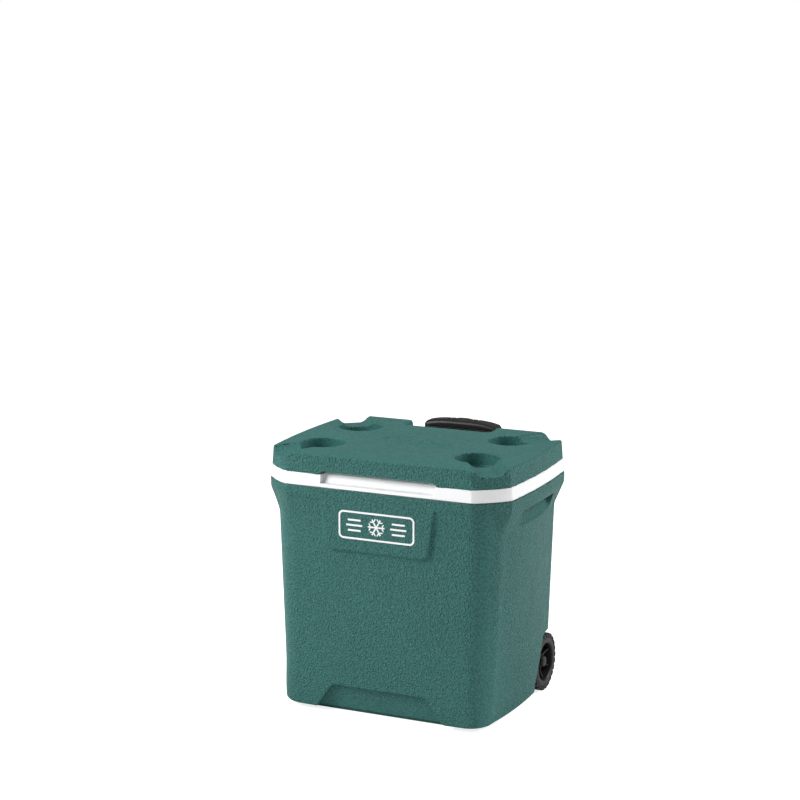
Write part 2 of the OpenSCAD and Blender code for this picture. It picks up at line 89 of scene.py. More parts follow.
def rim(x, y, d, back=170.0):
    """Distance to the outline of rim, band and lid moved in by d: almost straight edges and eased, chamfer-like corners."""
    a, bf, bk = 232.5 - d, 172.5 - d, back - d
    rx, ry, f, s, m = 55.0 - 0.7 * d, 49.0 - 0.7 * d, 0.8, 6.0, 1.25
    cx = a - s - rx
    yf, yk = -(bf - f - ry), bk - ry
    ym, h = (yf + yk) / 2, (yk - yf) / 2
    dx = np.abs(x) - cx - s * ease((y - ym) / h)
    dy = np.where(y > ym, y - yk, yf - y - f * ease(x / cx))
    u, v = np.maximum(dx, 0) / rx, np.maximum(dy, 0) / ry
    g = (u**m + v**m) ** (1 / m)
    gs = np.maximum(g, 1e-3)
    gx, gy = (u / gs) ** (m - 1) / rx, (v / gs) ** (m - 1) / ry
    outer = (g - 1) / np.sqrt(gx * gx + gy * gy + 1e-9)
    return np.where((dx > 0) | (dy > 0), outer, np.maximum(dx - rx, dy - ry))


class Rings:
    """Outline sizes that change with height, with each bend softened over a length."""

    def __init__(self, rows, soft):
        self.z = np.arange(-40.0, 520.0, 0.5)
        zs = [r[0] for r in rows]
        self.cols = []
        k = max(1, int(soft / 0.5))
        for c in range(1, len(rows[0])):
            v = np.interp(self.z, zs, [r[c] for r in rows])
            p = np.pad(v, k, mode="edge")
            for _ in range(2):
                p = np.convolve(np.pad(p, k // 2, mode="edge"), np.ones(2 * (k // 2) + 1) / (2 * (k // 2) + 1), "valid")
            self.cols.append(p[k : k + len(self.z)])

    def __call__(self, z):
        return [np.interp(z, self.z, c) for c in self.cols]


def polygon_distance(u, v, pts):
    """Distance to a closed polygon in the plane, negative inside."""
    best = np.full(np.shape(u), 1e9)
    inside = np.zeros(np.shape(u), bool)
    n = len(pts)
    for i in range(n):
        (x0, y0), (x1, y1) = pts[i], pts[(i + 1) % n]
        ex, ey = x1 - x0, y1 - y0
        wx, wy = u - x0, v - y0
        t = np.clip((wx * ex + wy * ey) / (ex * ex + ey * ey), 0, 1)
        best = np.minimum(best, (wx - ex * t) ** 2 + (wy - ey * t) ** 2)
        if y0 != y1:
            crosses = ((y0 > v) != (y1 > v)) & (u < (x1 - x0) * (v - y0) / (y1 - y0) + x0)
            inside ^= crosses
    return np.where(inside, -1, 1) * np.sqrt(best)


# ---------------------------------------------------------- polygonise ----
OFFS = np.array([[i, j, k] for i in (0, 1) for j in (0, 1) for k in (0, 1)])
EDGES = [(a, b) for a in range(8) for b in range(a + 1, 8) if np.abs(OFFS[a] - OFFS[b]).sum() == 1]


def evaluate(f, p, step=300000):
    out = np.empty(len(p))
    for s in range(0, len(p), step):
        q = p[s : s + step]
        out[s : s + step] = f(q[:, 0], q[:, 1], q[:, 2])
    return out


def gradient(f, p, e=0.12):
    g = np.empty_like(p)
    for i in range(3):
        d = np.zeros(3)
        d[i] = e
        g[:, i] = (evaluate(f, p + d) - evaluate(f, p - d)) / (2 * e)
    return g


def nets(f, lo, hi, h, block=4):
    """Vertices and outward quads of the surface f = 0 on a grid of cell h."""
    lo = np.array(lo, float)
    n = np.ceil((np.array(hi, float) - lo) / h / block).astype(int)
    N = n * block + 1
    mid = [lo[i] + (np.arange(n[i]) + 0.5) * h * block for i in range(3)]
    c = np.stack(np.meshgrid(*mid, indexing="ij"), -1).reshape(-1, 3)
    dc = evaluate(f, c).reshape(n)
    near = np.abs(dc) < h * block * 0.5 * 1.7321 * 1.5 + 2.0
    at = [np.minimum(np.arange(N[i]) // block, n[i] - 1) for i in range(3)]
    full = (np.where(dc < 0, -1e3, 1e3).astype(np.float32))[np.ix_(*at)]
    m = np.zeros(N, bool)
    nb = np.argwhere(near)
    off = np.stack(np.meshgrid(*[np.arange(block + 1)] * 3, indexing="ij"), -1).reshape(-1, 3)
    for o in off:
        q = nb * block + o
        m[q[:, 0], q[:, 1], q[:, 2]] = True
    ijk = np.argwhere(m)
    full[m] = evaluate(f, lo + ijk * h)
    S = full < 0
    total = np.zeros(np.array(S.shape) - 1, np.int8)
    for o in OFFS:
        total += S[o[0] : o[0] + total.shape[0], o[1] : o[1] + total.shape[1], o[2] : o[2] + total.shape[2]]
    mixed = (total > 0) & (total < 8)
    ci = np.argwhere(mixed)
    cell = np.full(mixed.shape, -1, np.int64)
    cell[mixed] = np.arange(len(ci))
    V = np.stack([full[ci[:, 0] + o[0], ci[:, 1] + o[1], ci[:, 2] + o[2]] for o in OFFS], 1).astype(float)
    acc, count = np.zeros((len(ci), 3)), np.zeros(len(ci))
    for a, b in EDGES:
        va, vb = V[:, a], V[:, b]
        crossing = (va < 0) != (vb < 0)
        t = np.where(crossing, va / np.where(crossing, va - vb, 1), 0)
        acc += np.where(crossing[:, None], OFFS[a] + t[:, None] * (OFFS[b] - OFFS[a]), 0)
        count += crossing
    p = lo + (ci + acc / count[:, None]) * h
    quads = []
    for axis in range(3):
        u, v = [(1, 2), (2, 0), (0, 1)][axis]
        s0, s1 = [slice(None)] * 3, [slice(None)] * 3
        s0[axis], s1[axis] = slice(0, -1), slice(1, None)
        e = np.argwhere(S[tuple(s0)] != S[tuple(s1)])
        e = e[(e[:, u] > 0) & (e[:, u] < N[u] - 1) & (e[:, v] > 0) & (e[:, v] < N[v] - 1)]
        du, dv = np.eye(3, dtype=int)[u], np.eye(3, dtype=int)[v]
        q = np.stack([cell[tuple((e - d).T)] for d in (du + dv, dv, 0 * du, du)], 1)
        out = S[tuple(e.T)]
        quads.append(np.where(out[:, None], q, q[:, ::-1]))
    return p, np.concatenate(quads)


def settle(f, p, h, times=2):
    for _ in range(times):
        g = gradient(f, p)
        d = evaluate(f, p)
        m = np.maximum((g * g).sum(1), 0.05)
        step = -g * (d / m)[:, None]
        length = np.linalg.norm(step, axis=1)
        p = p + step * np.minimum(1, 0.5 * h / np.maximum(length, 1e-9))[:, None]
    return p


def relax(f, p, quads, h, times=1):
    for _ in range(times):
        acc, count = np.zeros_like(p), np.zeros(len(p))
        for a, b in ((0, 1), (1, 2), (2, 3), (3, 0)):
            np.add.at(acc, quads[:, a], p[quads[:, b]])
            np.add.at(acc, quads[:, b], p[quads[:, a]])
            np.add.at(count, quads[:, a], 1)
            np.add.at(count, quads[:, b], 1)
        move = acc / count[:, None] - p
        g = gradient(f, p)
        g /= np.maximum(np.linalg.norm(g, axis=1), 1e-6)[:, None]
        move -= g * (move * g).sum(1)[:, None]
        p = settle(f, p + 0.5 * move, h, 1)
    return p


def mesh_from(name, p, faces):
    """A mesh from points in metres and an array of quads or triangles."""
    me = bpy.data.meshes.new(name)
    k = faces.shape[1]
    me.vertices.add(len(p))
    me.vertices.foreach_set("co", np.ascontiguousarray(p, np.float32).ravel())
    me.loops.add(faces.size)
    me.loops.foreach_set("vertex_index", faces.ravel().astype(np.int32))
    me.polygons.add(len(faces))
    me.polygons.foreach_set("loop_start", np.arange(0, faces.size, k, dtype=np.int32))
    me.update(calc_edges=True)
    me.validate()
    return me


def link(name, me):
    ob = bpy.data.objects.new(name, me)
    bpy.context.scene.collection.objects.link(ob)
    return ob


def applied(ob, *setups):
    """Runs modifiers given as (type, settings) on ob and keeps their result as its mesh."""
    for kind, settings in setups:
        m = ob.modifiers.new(kind.lower(), kind)
        for key, value in settings.items():
            setattr(m, key, value)
    dg = bpy.context.evaluated_depsgraph_get()
    me = bpy.data.meshes.new_from_object(ob.evaluated_get(dg))
    ob.modifiers.clear()
    old = ob.data
    ob.data = me
    bpy.data.meshes.remove(old)
    return ob


def skin(name, f, lo, hi, h, keep=1.0, rounds=1):
    """A closed piece on the surface f = 0, with normals taken from the field."""
    t = time.time()
    p, quads = nets(f, lo, hi, h)
    p = settle(f, p, h, 2)
    p = relax(f, p, quads, h, rounds)
    ob = link(name, mesh_from(name, p * MM, quads))
    if keep < 1:
        applied(ob, ("DECIMATE", {"ratio": keep}))
    me = ob.data
    co = np.empty(len(me.vertices) * 3, np.float32)
    me.vertices.foreach_get("co", co)
    g = gradient(f, co.reshape(-1, 3).astype(float) / MM, 0.35)
    g /= np.maximum(np.linalg.norm(g, axis=1), 1e-6)[:, None]
    me.polygons.foreach_set("use_smooth", np.ones(len(me.polygons), bool))
    me.normals_split_custom_set_from_vertices(g.tolist())
    me.update()
    print(f"{name}: {len(me.vertices)} vertices, {len(me.polygons)} faces, {time.time() - t:.1f} s")
    return ob


# ---------------------------------------------------------------- body ----
BODY = Rings(
    [
        (-40, 201.0, 168.2, 159.6, 39.0),
        (16, 203.5, 168.5, 160.0, 40.0),
        (343, 219.0, 170.0, 162.0, 54.0),
        (500, 219.0, 170.0, 162.0, 54.0),
    ],
    7.0,
)
FLARE = Rings([(-40, 0.0), (343, 0.0), (384, 1.0), (500, 1.0)], 7.0)
WINDOW = [(50, -12), (50, -2), (62, 22), (79, 32), (86, 50), (104, 72), (116, 96), (126, 108), (230, 108), (230, -12)]


def body_solid(x, y, z):
    """The body's outer form, without its top, with every pocket cut in."""
    a, bf, bk, r = BODY(z)
    edge = rim(x, y, 0.5)
    w = FLARE(z)[0]
    front = smooth01((-y - 122.0) / 22.0)
    sunk = 2.6 * front * (1 - smooth01((z - 377.0) / 9.0)) * smooth01((z - 30.0) / 60.0)
    d = rmax((1 - w) * plan(x, y, a, bf, bk, r) + w * edge + sunk, 8.0 - z, 8.0)
    # rim and the raised panel that hangs from it, standing out from the front
    wide = 106.0 - 13.0 * np.clip((384.0 - z) / 84.0, 0, 1.3)
    outline = rmax((np.abs(x) - wide) * 0.988, 298.0 - z, 12.0)
    outline = rmin(outline, 386.5 - z, 9.0)
    side = (outline + 1.0 * (edge + 0.5)) / 1.414
    bib = rmax(edge + 0.45 * smooth01((z - 392.0) / 8.0) - 0.45, side, 1.4) + 4.0 * (1 - front)
    bib = np.maximum(bib, y + 100.0)
    d = rmin(d, bib, 1.2)
    # base pad
    pad = rmax(rmax(np.abs(x) - 165.0, np.abs(y + 24.0) - 114.0, 20.0), -z, 2.0)
    d = rmin(d, np.maximum(pad, z - 14.0), 2.0)
    # toe recess
    half = 88.0 + (54.0 - z) * 0.711
    wall = y - (-159.0 + (54.0 - z) * 0.283)
    toe = rmax(rmax((np.abs(x) - half) * 0.815, z - 54.0, 5.0), wall * 0.96, 3.0)
    d = cut(d, toe, 1.6)
    # hand-hold pockets
    inner = (217.0 - (z - 344.0) * 0.367 - np.abs(x)) * 0.94
    pocket = rmax(rmax(inner, np.abs(z - 359.0) - 15.0, 3.0), np.abs(y) - 72.0, 7.0)
    d = cut(d, pocket, 1.8)
    # wheel housings
    ax = np.abs(x)
    ring = np.sqrt((y - 111.0) ** 2 + (z - 52.0) ** 2) - 56.0
    low = np.maximum(55.0 - y, z - 52.0)
    back = np.maximum(111.0 - y, z - 108.0)
    housing = np.maximum(np.minimum(ring, np.minimum(low, back)), np.maximum(165.5 - ax, ax - 201.5))
    d = cut(d, housing, 0.8)
    near = (ax > 150) & (z < 150)
    opening = np.full(np.shape(x), 60.0)
    if np.any(near):
        opening[near] = np.maximum(polygon_distance(y[near], z[near], WINDOW), 199.5 - ax[near])
    d = cut(d, opening, 0.8)
    # cut-back lower rear edge
    rear = np.maximum((z + 2.0) * 0.6974 - (y - 128.0) * 0.7167, ax - 161.5)
    d = cut(d, np.maximum(rear, 120.0 - y), 2.0)
    return d


def body_field(x, y, z):
    d = body_solid(x, y, z)
    thick = 3.0 + 1.6 * smooth01((396.0 - z) / 8.0)
    k = smooth01((z - 384.0) / 8.0)
    inner = (1 - k) * (d + thick) + k * rim(x, y, 3.6)
    return rmax(rmax(d, z - 402.0, 1.0), -inner, 0.5)


def tub_field(x, y, z):
    def tub(o):
        t = np.clip((z - 72.0) / 330.0, 0, 1.2)
        a, bf, bk, r = 154 + 36 * t - o, 128 + 12 * t - o, 112 + 22 * t - o, 36 + 10 * t - o
        return rmax(plan(x, y, a, bf, bk, r, 3.0, 3.0), 72.0 + o - z, 16.0 - o)

    flange = np.maximum(rim(x, y, 3.75), np.abs(z - 400.4) - 1.5)
    d = rmin(rmax(tub(0.0), z - 402.0, 0.8), flange, 1.0)
    inside = np.maximum(tub(3.0), z - 430.0)
    return cut(d, inside, 2.5)


# ----------------------------------------------------------------- lid ----
LID = Rings([(400, 1.9), (425, 3.5), (457, 5.8), (500, 9.2)], 1.0)
CUPS = [(sx * 145.0, cy) for sx in (-1, 1) for cy in (-80.0, 68.0)]


def lid_form(x, y, z):
    side = rim(x, y, LID(z)[0])
    inward = -rim(x, y, 5.8, 215.0)
    rise = 3.0 * np.clip(inward / 36.0, 0, 1)
    soft = np.clip((inward - 30.0) / 12.0, 0, 1)
    top = z - (457.0 + rise - 0.5 * soft * (1 - soft))
    return rmax(side, top, 3.2 + 5.5 * smooth01((y - 125.0) / 30.0))


def cup_cuts(x, y, z, d):
    for cx, cy in CUPS:
        r = np.sqrt((x - cx) ** 2 + (y - cy) ** 2)
        d = cut(d, rmax(r - 39.0, 435.0 - z, 4.5), 2.6)
        ux, uy = (57.0 if cx > 0 else -57.0), (81.0 if cy > 0 else -71.0)
        n = math.hypot(ux, uy)
        ux, uy = ux / n, uy / n
        t = (x - cx) * ux + (y - cy) * uy
        s = -(x - cx) * uy + (y - cy) * ux
        up = z - (452.0 - (t - 39.0) * (0.0875 if cy > 0 else 0.139))
        channel = rmax((np.abs(s) - 20.0 - 0.8 * up) * 0.781, -up, 6.0)
        d = cut(d, rmax(channel, 6.0 - t, 3.0), 2.4)
    return d


def lid_solid(x, y, z):
    d = lid_form(x, y, z)
    d = cup_cuts(x, y, z, d)
    notch = rmax(rmax(np.abs(x) - 84.0, 116.0 - y, 8.0), 427.0 - z, 3.0)
    d = cut(d, notch, 4.0)
    return d


def emboss(x, y):
    """A plain raised row of bars in a frame on the middle of the lid, 0 to 1."""
    u, v = x - 0.0, y + 8.0
    frame_d = rmax(np.abs(u) - 62.0, np.abs(v) - 17.0, 8.0)
    d = np.maximum(frame_d, -(frame_d + 3.0))
    for i in range(5):
        d = np.minimum(d, rmax(np.abs(u - (i - 2) * 21.0) - 7.5, np.abs(v) - (9.0 - 1.5 * abs(i - 2)), 2.0))
    return 1 - smooth01((d + 0.6) / 1.2)


def lid_field(x, y, z):
    d = lid_solid(x, y, z)
    near = (np.abs(x) < 80) & (np.abs(y + 8) < 40) & (z > 450)
    if np.any(near):
        d = np.array(d)
        d[near] -= 1.5 * emboss(x[near], y[near])
    finger = np.maximum(np.maximum(np.abs(x) - 107.0 + (z - 425.0) * 0.8, y + 152.5), z - 429.5)
    walls = cut(d, finger, 0.8)
    inner = lid_solid(x, y, z) + 3.0
    shell = rmax(rmax(walls, 424.5 - z, 0.6), -np.minimum(inner, 1e3), 0.5)
    ceiling = np.maximum(np.maximum(np.abs(x) - 108.0, np.abs(y + 159.0) - 9.5), np.abs(z - 431.4) - 1.7)
    return np.minimum(shell, np.maximum(ceiling, inner - 2.2))


BAND = Rings([(380, 0.0), (403, 0.0), (425, 2.5), (460, 6.5)], 1.0)


def liner_solid(x, y, z):
    d = rmax(rim(x, y, BAND(z)[0]), 403.0 - z, 1.2)
    t = np.clip((z - 391.0) / 14.0, 0, 2)
    plug = rmax(plan(x, y, 178 + 3 * t, 128 + 3 * t, 122 + 3 * t, 36 + 2 * t, 3.0, 3.0), 391.0 - z, 3.0)
    d = rmin(d, np.maximum(plug, z - 410.0), 2.0)
    slant = (y + 161.5 - (z - 409.5) * 0.45) * 0.912
    finger = rmax(rmax(np.abs(x) - 105.5, slant, 2.5), 409.5 - z, 1.5)
    return cut(d, finger, 1.1)


def liner_field(x, y, z):
    d = liner_solid(x, y, z)
    shell = rmax(rmax(d, z - 424.9, 0.5), -(d + 3.5), 0.4)
    back = rmax(rmax(np.abs(x) - 105.4, np.abs(y + 151.4) - 2.0, 0.4), np.abs(z - 425.0) - 4.6, 0.4)
    return np.minimum(shell, back)


# ----------------------------------------------------------------- grip ----
TOW_Y, TOW_X = 200.0, 58.0


def grip_outer(x, y, z):
    ax = np.abs(x)
    top = 460.8 - 8.0 * (np.minimum(ax, 76.0) / 74.0) ** 3.4
    d = rmax((z - top) * 0.95, ax - 72.4, 6.0)
    d = rmax(d, 432.0 - z, 3.0)
    d = cut(d, rmax(ax - 43.0, z - 440.0, 4.0), 2.0)
    tuck = np.clip((440.0 - z) / 8.0, 0, 1)
    d = rmax(d, (TOW_Y - 18.0 + 4.5 * tuck) - y, 7.5)
    d = rmax(d, y - (TOW_Y + 10.0 - 1.2 * tuck), 4.5)
    for s in (-1, 1):  # small finger notches beside the button
        d = cut(d, np.maximum(np.maximum(np.abs(x - s * 27.0) - 1.1, 459.0 - z), np.abs(y - TOW_Y) - 30), 0.6)
    return d


def grip_voids(x, y, z, d):
    ay = np.abs(y - TOW_Y)
    d = np.maximum(d, -np.maximum(np.maximum(np.abs(x) - 61.2, ay - 4.8), np.maximum(444.0 - z, z - 451.3)))
    for s in (-1, 1):
        r = np.sqrt((x - s * TOW_X) ** 2 + (y - TOW_Y) ** 2)
        d = np.maximum(d, -np.maximum(r - 7.05, z - 444.7))
        d = np.maximum(d, -np.maximum(r - 4.5, z - 451.3))
        q = np.sqrt((x - s * 36.0) ** 2 + (y - TOW_Y) ** 2)
        d = np.maximum(d, -np.maximum(q - 3.6, z - 442.0))
        d = np.maximum(d, -np.maximum(q - 1.75, z - 458.0))
    r = np.sqrt(x * x + (y - TOW_Y) ** 2)
    d = np.maximum(d, -np.maximum(r - 5.2, np.maximum(441.4 - z, z - 452.0)))
    d = cut(d, np.maximum(rmax(np.abs(x) - 17.2, ay - 8.4, 2.0), 447.0 - z), 0.7)
    return d


def grip_lower_field(x, y, z):
    return rmax(grip_voids(x, y, z, grip_outer(x, y, z)), z - 446.8, 0.5)


def grip_upper_field(x, y, z):
    return rmax(grip_voids(x, y, z, grip_outer(x, y, z)), 447.1 - z, 0.5)


def button_field(x, y, z):
    ay = np.abs(y - TOW_Y)
    top = 462.0 - 1.4 * (x / 16.7) ** 2
    d = rmax(rmax(np.abs(x) - 16.7, ay - 7.9, 1.8), z - top, 2.4)
    d = np.maximum(d, 453.0 - z)
    for i in (-1, 0, 1):
        d = cut(d, np.sqrt((x - i * 4.0) ** 2 + (z - 463.2) ** 2) - 1.5, 0.3)
    foot = np.maximum(np.maximum(np.abs(x) - 8.0, ay - 3.0), np.abs(z - 452.2) - 1.25)
    return np.minimum(d, foot)


# ---------------------------------------------------------------- wheel ----
def lathe(profile, steps, angle0=0.0):
    """Points and quads of a closed profile [(radius, along)] turned about the wheel axis. The profile runs so that faces look out."""
    p, n = [], len(profile)
    for i in range(steps):
        a = angle0 + 2 * math.pi * i / steps
        p += [(r * math.cos(a), r * math.sin(a), w) for r, w in profile]
    q = [[i * n + j, i * n + (j + 1) % n, ((i + 1) % steps) * n + (j + 1) % n, ((i + 1) % steps) * n + j] for i in range(steps) for j in range(n)]
    return np.array(p, float), np.array(q)


def prism(outline, w0, w1):
    n = len(outline)
    bm = bmesh.new()
    low = [bm.verts.new((u, v, w0)) for u, v in outline]
    high = [bm.verts.new((u, v, w1)) for u, v in outline]
    bm.faces.new(low[::-1])
    bm.faces.new(high)
    for i in range(n):
        bm.faces.new([low[i], low[(i + 1) % n], high[(i + 1) % n], high[i]])
    return bm


def joined(name, parts):
    """One object from several closed bmeshes."""
    out = bmesh.new()
    for bm in parts:
        me = bpy.data.meshes.new("part")
        bm.to_mesh(me)
        out.from_mesh(me)
        bpy.data.meshes.remove(me)
        bm.free()
    bmesh.ops.recalc_face_normals(out, faces=out.faces)
    me = bpy.data.meshes.new(name)
    out.to_mesh(me)
    out.free()
    return link(name, me)


def bm_from(p, q):
    bm = bmesh.new()
    vs = [bm.verts.new(tuple(c)) for c in p]
    for f in q:
        bm.faces.new([vs[i] for i in f])
    return bm


def arc(cx, cy, r, a0, a1, n):
    return [(cx + r * math.cos(math.radians(a0 + (a1 - a0) * i / n)), cy + r * math.sin(math.radians(a0 + (a1 - a0) * i / n))) for i in range(n + 1)]


R, W, BLOCKS = 52.0, 32.0, 26


def place_wheel(ob, left):
    """From wheel space (x, y across, z outwards along the axle) to the frame, in metres."""
    sx = -1 if left else 1
    m = Matrix(((0, 0, sx, sx * 168.5), (0, 1, 0, 111.0), (-1, 0, 0, 52.0), (0, 0, 0, 1)))
    me = ob.data
    me.transform(m)
    me.transform(Matrix.Scale(MM, 4))
    bm = bmesh.new()
    bm.from_mesh(me)
    bmesh.ops.recalc_face_normals(bm, faces=bm.faces)
    bm.to_mesh(me)
    bm.free()
    me.update()


def finish_hard(ob, width, segments=2, angle=35):
    """Rounds the hard edges for good and shades the piece smooth between them."""
    applied(ob, ("BEVEL", {"width": width * MM, "segments": segments, "limit_method": "ANGLE", "angle_limit": math.radians(angle), "harden_normals": False, "use_clamp_overlap": True}))
    me = ob.data
    me.polygons.foreach_set("use_smooth", np.ones(len(me.polygons), bool))
    m = ob.modifiers.new("weighted", "WEIGHTED_NORMAL")
    m.keep_sharp = False
    m.weight = 60


def tyre(name, left):
    parts = []
    core = [(R - 8, 0.8), (R - 4.2, 0.8), (R - 3.2, 3.4), (R - 3.2, W - 3.4), (R - 4.2, W - 0.8), (R - 8, W - 0.8)]
    parts.append(bm_from(*lathe(core, 104)))
    for side in (0, 1):
        for i in range(BLOCKS):
            a = (i + 0.5 * side) * 2 * math.pi / BLOCKS
            da = math.pi / BLOCKS * 0.70
            ring = [(R - 3.6, -da * 1.06), (R - 3.6, da * 1.06), (R - 0.8, da), (R, da * 0.86), (R + 0.0, 0), (R, -da * 0.86), (R - 0.8, -da)]
            outline = [(r * math.cos(a + t), r * math.sin(a + t)) for r, t in ring]
            w0, w1 = (1.2, W / 2 - 0.9) if side == 0 else (W / 2 + 0.9, W - 1.2)
            parts.append(prism(outline, w0, w1))
    for i in range(BLOCKS):  # shoulder lugs on the outer side wall
        a = (i + 0.5) * 2 * math.pi / BLOCKS
        da = math.pi / BLOCKS * 0.62
        outline = [(r * math.cos(a + t), r * math.sin(a + t)) for r, t in [(R - 7.4, -da * 0.8), (R - 7.4, da * 0.8), (R - 3.0, da), (R - 3.0, -da)]]
        parts.append(prism(outline, W - 1.6, W - 0.1))
    ob = joined(name, parts)
    place_wheel(ob, left)
    finish_hard(ob, 0.35, 2, 40)
    return ob


def hub(name, left):
    parts = []
    rim = [(R - 14, 10), (R - 12, 1), (R - 8.05, 1), (R - 8.05, W - 1), (R - 9.2, W - 0.2), (R - 16.6, W - 0.2), (R - 18.6, W - 2.2), (R - 20.6, 17.5), (R - 20.6, 14.0), (13.0, 12.5), (12.2, 10), ]
    parts.append(bm_from(*lathe(rim, 96)))
    boss = [(7.0, 4), (12.2, 4), (12.2, 12.0), (13.6, 15.5), (12.4, 23.0), (11.4, 24.0), (7.0, 24)]
    parts.append(bm_from(*lathe(boss, 72)))
    for i in range(6):  # ribbed spokes across the bowl
        a = i * math.pi / 3
        c, s = math.cos(a), math.sin(a)
        prof = [(11.6, 13.0), (32.6, 14.5), (33.2, 25.5), (30.0, 26.2), (20.0, 21.8), (12.0, 21.5)]
        bm = bmesh.new()
        for t in (-1, 1):
            for r, w in prof:
                q = 2.3 if w < 16 else 1.7
                bm.verts.new((r * c - t * q * s, r * s + t * q * c, w))
        v = list(bm.verts)
        n = len(prof)
        bm.faces.new(v[:n])
        bm.faces.new(v[n:][::-1])
        for j in range(n):
            bm.faces.new([v[j], v[(j + 1) % n], v[n + (j + 1) % n], v[n + j]][::-1])
        parts.append(bm)
    ob = joined(name, parts)
    place_wheel(ob, left)
    finish_hard(ob, 0.6, 3, 30)
    return ob


# ---------------------------------------------------------------- badge ----
def face_y(x):
    """The front panel's face at x, in mm: it bows with the rim."""
    return -(172.0 - 0.8 + 0.8 * float(ease(np.array(x / 171.35))) + 0.48)


def badge():
    """A rounded frame, a frost star and plain bars, raised 0.45 mm and bent with the panel."""
    bm = bmesh.new()
    zc, th = 344.0, 0.45

    def rect_loop(w, h, r, step=5.0):
        pts = []
        for (cx, cy, a0) in ((w / 2 - r, -h / 2 + r, -90), (w / 2 - r, h / 2 - r, 0), (-w / 2 + r, h / 2 - r, 90), (-w / 2 + r, -h / 2 + r, 180)):
            pts += arc(cx, cy, r, a0, a0 + 90, 10)
        return pts

    def dense(a, b, step=4.0):
        out_a, out_b = [], []
        n = len(a)
        for i in range(n):
            (ax, ay), (bx, by) = a[i], a[(i + 1) % n]
            (cx, cy), (dx, dy) = b[i], b[(i + 1) % n]
            k = max(1, int(math.hypot(bx - ax, by - ay) / step))
            for j in range(k):
                t = j / k
                out_a.append((ax + (bx - ax) * t, ay + (by - ay) * t))
                out_b.append((cx + (dx - cx) * t, cy + (dy - cy) * t))
        return out_a, out_b

    def at(u, v, up):
        return (u * MM, (face_y(u) + 0.15 - (th + 0.15 if up else 0)) * MM, (zc + v) * MM)

    a, b = dense(rect_loop(141, 49, 9), rect_loop(134.6, 42.6, 6))
    n = len(a)
    rings = [[bm.verts.new(at(u, v, up)) for u, v in loop] for loop, up in ((a, False), (a, True), (b, True), (b, False))]
    for k in range(4):
        r0, r1 = rings[k], rings[(k + 1) % 4]
        for i in range(n):
            bm.faces.new([r0[i], r0[(i + 1) % n], r1[(i + 1) % n], r1[i]])

    def bar(cx, cy, w, h, ang=0.0):
        k = max(1, int(w / 4))
        c, s = math.cos(ang), math.sin(ang)
        rows = []
        for up in (False, True):
            lo_, hi_ = [], []
            for i in range(k + 1):
                u = -w / 2 + w * i / k
                for v, store in ((-h / 2, lo_), (h / 2, hi_)):
                    store.append(bm.verts.new(at(cx + u * c - v * s, cy + u * s + v * c, up)))
            rows.append((lo_, hi_))
        (l0, h0), (l1, h1) = rows
        for i in range(k):
            bm.faces.new([l1[i], l1[i + 1], h1[i + 1], h1[i]])
            bm.faces.new([l0[i], h0[i], h0[i + 1], l0[i + 1]])
            bm.faces.new([l0[i], l0[i + 1], l1[i + 1], l1[i]])
            bm.faces.new([h0[i + 1], h0[i], h1[i], h1[i + 1]])
        bm.faces.new([l0[0], l1[0], h1[0], h0[0]])
        bm.faces.new([l0[k], h0[k], h1[k], l1[k]])

    # frost star: one hub and six arms with two barbs each, kept clear of one another
    hubp = [bm.verts.new(at(3.0 * math.cos(math.radians(60 * i + 30)), 3.0 * math.sin(math.radians(60 * i + 30)), False)) for i in range(6)]
    hubt = [bm.verts.new(at(3.0 * math.cos(math.radians(60 * i + 30)), 3.0 * math.sin(math.radians(60 * i + 30)), True)) for i in range(6)]
    bm.faces.new(hubp)
    bm.faces.new(hubt[::-1])
    for i in range(6):
        bm.faces.new([hubp[i], hubp[(i + 1) % 6], hubt[(i + 1) % 6], hubt[i]])
    for i in range(6):
        t = math.radians(60 * i)
        bar(9.2 * math.cos(t), 9.2 * math.sin(t), 12.6, 2.6, t)
        for s in (-1, 1):
            b_ = t + s * math.radians(60)
            bx, by = 10.0 * math.cos(t) + 4.3 * math.cos(b_), 10.0 * math.sin(t) + 4.3 * math.sin(b_)
            bar(bx, by, 5.4, 2.0, b_)
    for s in (-1, 1):
        for i in (-1, 0, 1):
            bar(s * 41.0, i * 9.0, 30 - 6 * abs(i), 3.2)
    bmesh.ops.recalc_face_normals(bm, faces=bm.faces)
    me = bpy.data.meshes.new("front_badge_print")
    bm.to_mesh(me)
    bm.free()
    ob = link("front_badge_print", me)
    applied(ob, ("BEVEL", {"width": 0.12 * MM, "segments": 1, "limit_method": "ANGLE", "angle_limit": math.radians(40)}))
    return ob


